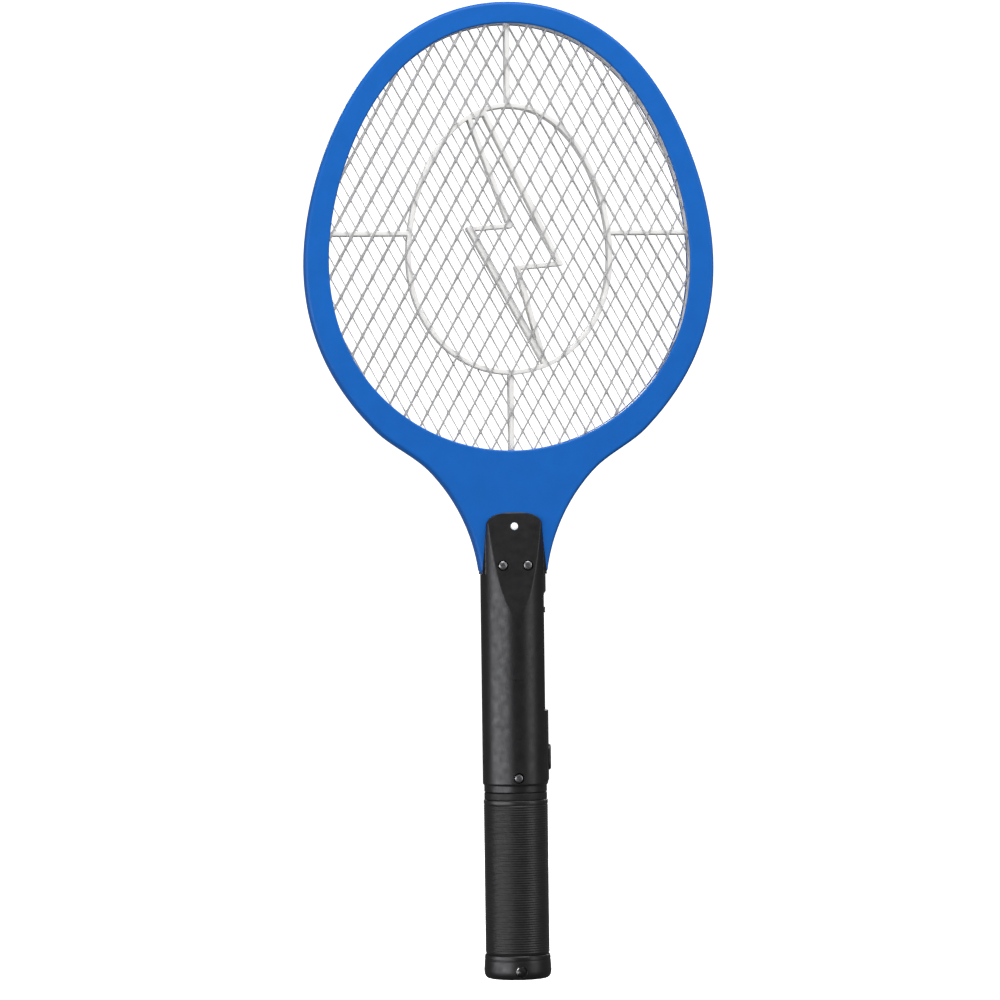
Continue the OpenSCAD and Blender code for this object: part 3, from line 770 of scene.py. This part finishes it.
# ------------------------------------------------------------------ sleeve, ring and cap
def sleeve_profile():
    """Outer wall with fine ribs, then the bore."""
    low, high, r = SLEEVE[0][2], SLEEVE[1][2], SLEEVE[1][0]
    pts = [(r - 0.7, low), (r - 0.35, low + 0.25), (r - 0.35, low + 1.0)]
    pitch = 1.24
    count = int((high - low - 3.2) / pitch)
    z = low + 1.0
    for _ in range(count):
        for f, d in ((0.1, 0.2), (0.25, 0.05), (0.45, 0.0), (0.65, 0.05), (0.82, 0.2)):
            pts.append((r - d, z + f * pitch))
        z += pitch
    pts += [(r - 0.35, z + 0.2), (r - 0.05, z + 0.45), (r - 0.05, high - 0.3), (r - 0.35, high)]
    pts += [(15.15, high), (15.0, high - 0.15), (15.0, low), (15.1, low)]
    return pts


def sleeve_and_cap():
    """The ribbed sleeve, the ring above it and the cap with its hanging hole."""
    sleeve = make("battery_sleeve_ribbed", *revolve(sleeve_profile(), 112), M["sleeve"], 60)
    stands_for(sleeve, "battery_sleeve")
    low, high, r = RING[0][2], RING[1][2], RING[1][0]
    pts = [(15, low), (r - 0.5, low), (r - 0.15, low + 0.15), (r, low + 0.5), (r, high - 0.55),
           (r - 0.18, high - 0.2), (r - 0.6, high), (15, high)]
    ring = make("locking_ring_turned", *revolve(pts, 96), M["ring"])
    stands_for(ring, "locking_ring")
    top, cap_r, plug_top = SLEEVE[0][2], CAP[1][0], CAP[1][2]
    pts = [(0.01, 0), (cap_r - 3.2, 0), (cap_r - 2.4, 0.06), (cap_r - 1.6, 0.32), (cap_r - 0.95, 0.85),
           (cap_r - 0.45, 1.7), (cap_r - 0.14, 2.9), (cap_r, 4.4), (cap_r - 0.16, 6.5), (cap_r - 0.3, 8.8),
           (cap_r - 0.33, 9.4), (cap_r - 0.5, 9.65), (cap_r - 0.5, 9.95), (cap_r - 0.36, 10.2),
           (cap_r - 0.42, 11), (cap_r - 0.45, top - 0.35), (cap_r - 0.75, top - 0.02), (14.95, top - 0.02),
           (14.95, plug_top - 0.3), (14.7, plug_top), (13.2, plug_top), (13.2, top - 1), (0.01, top - 1)]
    cap = make("end_cap_moulded", *revolve(pts, 128), M["black"])
    wide = HANG_R + 0.25
    hole = [(wide, -19), (wide, -16.9), (HANG_R, -16.6), (HANG_R, 16.6), (wide, 16.9), (wide, 19)]
    combine(cap, [turned_y(hole, 0, HANG_Z, 56)])
    stands_for(cap, "end_cap")


# ------------------------------------------------------------------ controls, screws, light
def controls():
    """The push button with its inner flange, and the ridged knob of the slide switch."""
    button = make("push_button_cap", *joined([
        pill(0.0, 12.6, BUTTON[1][0], 0.9),
        brick([12, -5, BUTTON_Z - 7.6], [13.3, 5, BUTTON_Z + 7.6], 0.2)]), M["button"])
    round_face(button)
    stands_for(button, "push_button")
    low, high = KNOB
    parts = [brick([10.4, -2.4, low[2]], [11.4, 2.4, high[2]], 0.15),
             brick([10.8, -1.4, low[2] + 0.4], [high[0] - 0.25, 1.4, high[2] - 0.4], 0.3)]
    for z in np.linspace(low[2] + 0.95, high[2] - 0.95, 4):
        parts.append(brick([high[0] - 0.7, -1.25, z - 0.17], [high[0], 1.25, z + 0.17], 0.1))
    stands_for(make("slide_knob_ridged", *joined(parts), M["button"]), "slide_knob")


def round_face(ob):
    """The button's face follows the handle's round side."""
    r = BUTTON[1][0]
    for v in ob.data.vertices:
        x, y = v.co.x / MM, v.co.y / MM
        if x > 14:
            v.co.x = (x - (r - math.sqrt(r * r - y * y))) * MM
    finish_shading(ob)


def pan_screw(x, z, top, r_head, r_shank, y_end):
    """A pan-headed screw along Y whose head top lies at y = top, in front."""
    under = top + 1.5
    profile = [(r_shank, y_end), (r_shank, under - 0.1), (r_head - 0.1, under - 0.1),
               (r_head, under - 0.25), (r_head, under - 0.7), (r_head * 0.93, top + 0.35),
               (r_head * 0.75, top + 0.1), (r_head * 0.4, top), (0.0, top)]
    return turned_y(profile, x, z, 40)


def cross_cut(x, z, low, high, long, wide):
    """The cross recess of a screw between two depths, as two crossing bricks."""
    return [brick([x - long, low, z - wide], [x + long, high, z + wide]),
            brick([x - wide, low, z - long], [x + wide, high, z + long])]


def front_screw(name, node, x, z, top, y_end):
    """A large screw put in from the front."""
    ob = make(name, *pan_screw(x, z, top, SCREW_HEAD_R, SCREW_SHANK_R, y_end), M["screw"])
    combine(ob, cross_cut(x, z, top - 0.5, top + 0.75, 1.3, 0.33))
    stands_for(ob, node)


def fasteners():
    """Neck screws and lower screw from the front, and the frame's small screws from behind."""
    for tag, x in (("left", -NECK_SCREW_X), ("right", NECK_SCREW_X)):
        front_screw("neck_screw_" + tag, "neck_screws", x, NECK_SCREW_Z, NECK_SCREW_Y, 10)
    front_screw("lower_screw_pan", "lower_screw", 0, LOWER_SCREW_Z, LOWER_SCREW_Y, 10.5)
    verts, faces = pan_screw(0, 0, -1.4, 2.0, 1.2, 10.5)
    for k, turn in enumerate(SCREW_TURNS):
        x, z = screw_spot(turn)
        moved = verts * (1, -1, 1) + (x, FRAME_SCREW_Y, z)
        ob = make(f"frame_screw_{k + 1}", moved, faces, M["screw"])
        combine(ob, cross_cut(x, z, FRAME_SCREW_Y + 0.9, 8, 1.1, 0.26))
        stands_for(ob, "frame_screws")


def indicator():
    """The light's lens, a short rod with a domed front."""
    front, edge = box("indicator_led")[0][1], -9.65
    dome = [(2.4, -3), (2.4, -7.4), (LED_R, -7.5), (LED_R, edge)]
    for a in np.radians(np.linspace(8, 90, 9)):
        dome.append((LED_R * math.cos(a), edge + (front - edge) * math.sin(a)))
    lens = make("indicator_led_lens", *turned_y(dome, 0, LED_Z), M["led"])
    stands_for(lens, "indicator_led")


# ------------------------------------------------------------------ battery compartment
def battery_holder():
    """Foot disc, two side rails and the block above the cells."""
    low, high = box("battery_holder")
    r, foot = high[0], low[2]
    disc = [(0.01, foot), (r - 0.5, foot), (r, foot + 0.4), (r, foot + 2.1), (r - 0.4, foot + 2.5),
            (0.01, foot + 2.5)]
    body = make("battery_holder_moulded", *revolve(disc, 96), M["holder"])
    collar = box("cell_contacts")[1][2]
    block = [(0.01, collar), (r - 0.3, collar), (r, collar + 0.3), (r, high[2] - 0.3),
             (r - 0.3, high[2]), (0.01, high[2])]
    parts = [revolve(block, 96)]
    for side in (-1, 1):
        rail = [(x, side * math.sqrt((r - 0.02) ** 2 - x * x)) for x in np.linspace(-5, 5, 13)]
        rail += [(5, side * 7.9), (3.4, side * 8.6), (-3.4, side * 8.6), (-5, side * 7.9)]
        rings = [[(x, y, z) for x, y in rail] for z in np.linspace(foot + 1, collar + 2, 12)]
        parts.append(loft(rings, caps=True))
    combine(body, parts, "UNION")
    stands_for(body, "battery_holder")


def cells():
    """Two AA cells, one of them upside down, with bare metal ends."""
    for node, up in (("left_cell", True), ("right_cell", False)):
        low, high = box(node)
        x, length = (low[0] + high[0]) / 2, high[2] - low[2]
        rc = (high[0] - low[0]) / 2
        prof = [(0.01, 0), (4.6, 0), (4.9, 0.12), (5.3, 0.12), (5.5, 0.35), (rc - 0.9, 0.5),
                (rc - 0.25, 0.8), (rc, 1.3), (rc, 3.2), (rc - 0.06, 3.3), (rc - 0.06, 3.5), (rc, 3.6),
                (rc, length - 3.2), (rc - 0.12, length - 2.4), (rc - 0.6, length - 1.7),
                (rc - 1.5, length - 1.35), (3.2, length - 1.2), (2.75, length - 1.1),
                (2.7, length - 0.25), (2.45, length), (0.01, length)]
        prof = [(q, low[2] + z if up else high[2] - z) for q, z in prof]
        ob = make(node + "_can", *revolve(prof, 72, (x, 0)), M["jacket"])
        ob.data.materials.append(M["spring"])
        for p in ob.data.polygons:
            d = p.center.z / MM - low[2]
            d = d if up else length - d
            if d < 0.9 or d > length - 1.4:
                p.material_index = 1
        stands_for(ob, node)


def springs():
    """A conical spring at the negative end of each cell."""
    low, high = box("cell_springs")
    wire, coils, steps, height = 0.38, 3.6, 150, 4.0
    up = np.array([0, 0, 1])
    parts = []
    for x, foot, narrow_up in ((-CELL_X, low[2] + 0.42, True), (CELL_X, high[2] - 4.58, False)):
        rings = []
        for f in np.arange(steps + 1) / steps:
            a = f * 2 * math.pi * coils
            radius = 3.4 - 0.9 * (f if narrow_up else 1 - f)
            out = np.array([math.cos(a), math.sin(a), 0])
            centre = np.array([x, 0, foot + height * f]) + radius * out
            rings.append([centre + wire * (math.cos(q) * out + math.sin(q) * up)
                          for q in np.linspace(0, 2 * math.pi, 10, endpoint=False)])
        parts.append(loft(rings, caps=True))
    wound = make("cell_springs_wound", *joined(parts), M["spring"], 60)
    stands_for(wound, "cell_springs")


def contacts():
    """The plate that joins the cells at the foot, and one plate above each cell."""
    low, high = box("cell_contacts")
    parts = [brick([low[0], -3.5, low[2]], [high[0], 3.5, low[2] + 0.5], 0.12)]
    for x in (-CELL_X, CELL_X):
        parts.append(brick([x - 4, -4, high[2] - 0.6], [x + 4, 4, high[2]], 0.12))
    stands_for(make("cell_contact_plates", *joined(parts), M["spring"]), "cell_contacts")


# ------------------------------------------------------------------ CAD nodes that stay
KEPT = {
    "outer_net_terminal": "brass", "centre_net_terminal": "brass",
    "switch_plunger": "tin", "switch_body": "grey", "switch_dome": "spring", "slide_switch": "tin",
    "circuit_board": "board", "transformer_core": "ferrite", "transformer_coil": "winding",
    "storage_capacitor": "film", "multiplier_capacitors": "ceramic", "multiplier_diodes": "component",
    "transistor": "component", "resistors": "resistor",
    "high_voltage_wire": "red", "earth_wire": "wire_black", "battery_wires": "red",
}


def finish_kept_nodes():
    """Materials for the parts inside the handle, whose CAD solids are kept."""
    for node, key in KEPT.items():
        me = frame["nodes"][node].data
        me.materials.clear()
        me.materials.append(M[key])


# ------------------------------------------------------------------ stage, light, camera
def stage():
    """A round white room: pale floor with the wall curving up far outside the camera's orbit."""
    floor, room, bend = -120.0, 4200.0, 900.0
    profile = [(0.01, floor), (1200, floor), (room - bend, floor)]
    profile += [(room - bend * (1 - math.sin(a)), floor + bend * (1 - math.cos(a)))
                for a in np.radians(np.linspace(10, 90, 10))]
    profile += [(room, 3600)]
    mat, tree, shader, place = nodes_of("pale_room")
    tree.links.new(ramp(tree, noise(tree, place, 2), (0.86, 0.86, 0.86), (0.88, 0.88, 0.88)),
                   shader.inputs["Base Color"])
    shader.inputs["Roughness"].default_value = 0.9
    shader.inputs["Emission Color"].default_value = (1, 1, 1, 1)
    shader.inputs["Emission Strength"].default_value = 1.0
    ob = make("floor_and_wall", *revolve(profile, 96, closed=False), mat)
    ob.visible_glossy = False
    ob.visible_diffuse = False
    ob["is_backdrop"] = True


def area(name, place, target, size, power, colour=(1, 1, 1)):
    """A rectangular area light at a place in metres, aimed at a target."""
    light = bpy.data.lights.new(name, "AREA")
    light.shape = "RECTANGLE"
    light.size, light.size_y = size
    light.energy = power
    light.color = colour
    ob = bpy.data.objects.new(name, light)
    bpy.context.scene.collection.objects.link(ob)
    ob.location = place
    aim = Vector(target) - Vector(place)
    ob.rotation_euler = aim.to_track_quat("-Z", "Y").to_euler()


def lights():
    """Plain soft studio light: a long light from the left, the rest faint."""
    scene = bpy.context.scene
    world = bpy.data.worlds.new("soft_room")
    scene.world = world
    world.use_nodes = True
    back = world.node_tree.nodes["Background"]
    back.inputs["Color"].default_value = (1, 1, 1, 1)
    back.inputs["Strength"].default_value = 0.14
    area("key_left", (-2.1, -1.3, 0.0), (0, 0, 0.15), (3.4, 0.75), 62, (0.96, 0.97, 1.0))
    area("top_soft", (0.3, -1.0, 2.2), (0, 0, 0.25), (2.0, 1.0), 52)
    area("fill_right", (1.9, -1.4, 0.5), (0, 0, 0.25), (1.0, 1.6), 14)
    area("back_soft", (0.6, 2.2, 1.4), (0, 0, 0.25), (2.4, 1.2), 40)
    scene.view_settings.view_transform = "Standard"


def camera():
    """A long lens at the photograph's angle: a little to the left, level and slightly rolled."""
    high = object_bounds()[1]
    turn, roll, distance, view_width = math.radians(6.5), math.radians(0.74), 2.3, 0.513
    forward = Vector((math.sin(turn), math.cos(turn), 0))
    right = Vector((math.cos(turn), -math.sin(turn), 0))
    up = Vector((0, 0, 1))
    aim = Vector((0, 0, 0.49 * high.z)) - right * 0.0061
    data = bpy.data.cameras.new("camera")
    data.lens = data.sensor_width * distance / view_width
    data.clip_start, data.clip_end = 0.05, 20
    cam = bpy.data.objects.new("camera", data)
    bpy.context.scene.collection.objects.link(cam)
    tilted_up = up * math.cos(roll) + right * math.sin(roll)
    tilted_right = right * math.cos(roll) - up * math.sin(roll)
    m = Matrix((tilted_right, tilted_up, -forward)).transposed().to_4x4()
    m.translation = aim - forward * distance
    cam.matrix_world = m
    bpy.context.scene.camera = cam


frames()
net("front_net", -NET_Y, 0, 0, -TAB_X)
net("centre_net", 0, 0.25, 0.64, 0)
net("rear_net", NET_Y, 0, 1.28, -TAB_X)
spacers()
shells()
sleeve_and_cap()
controls()
fasteners()
indicator()
battery_holder()
cells()
springs()
contacts()
finish_kept_nodes()
stage()
lights()
camera()
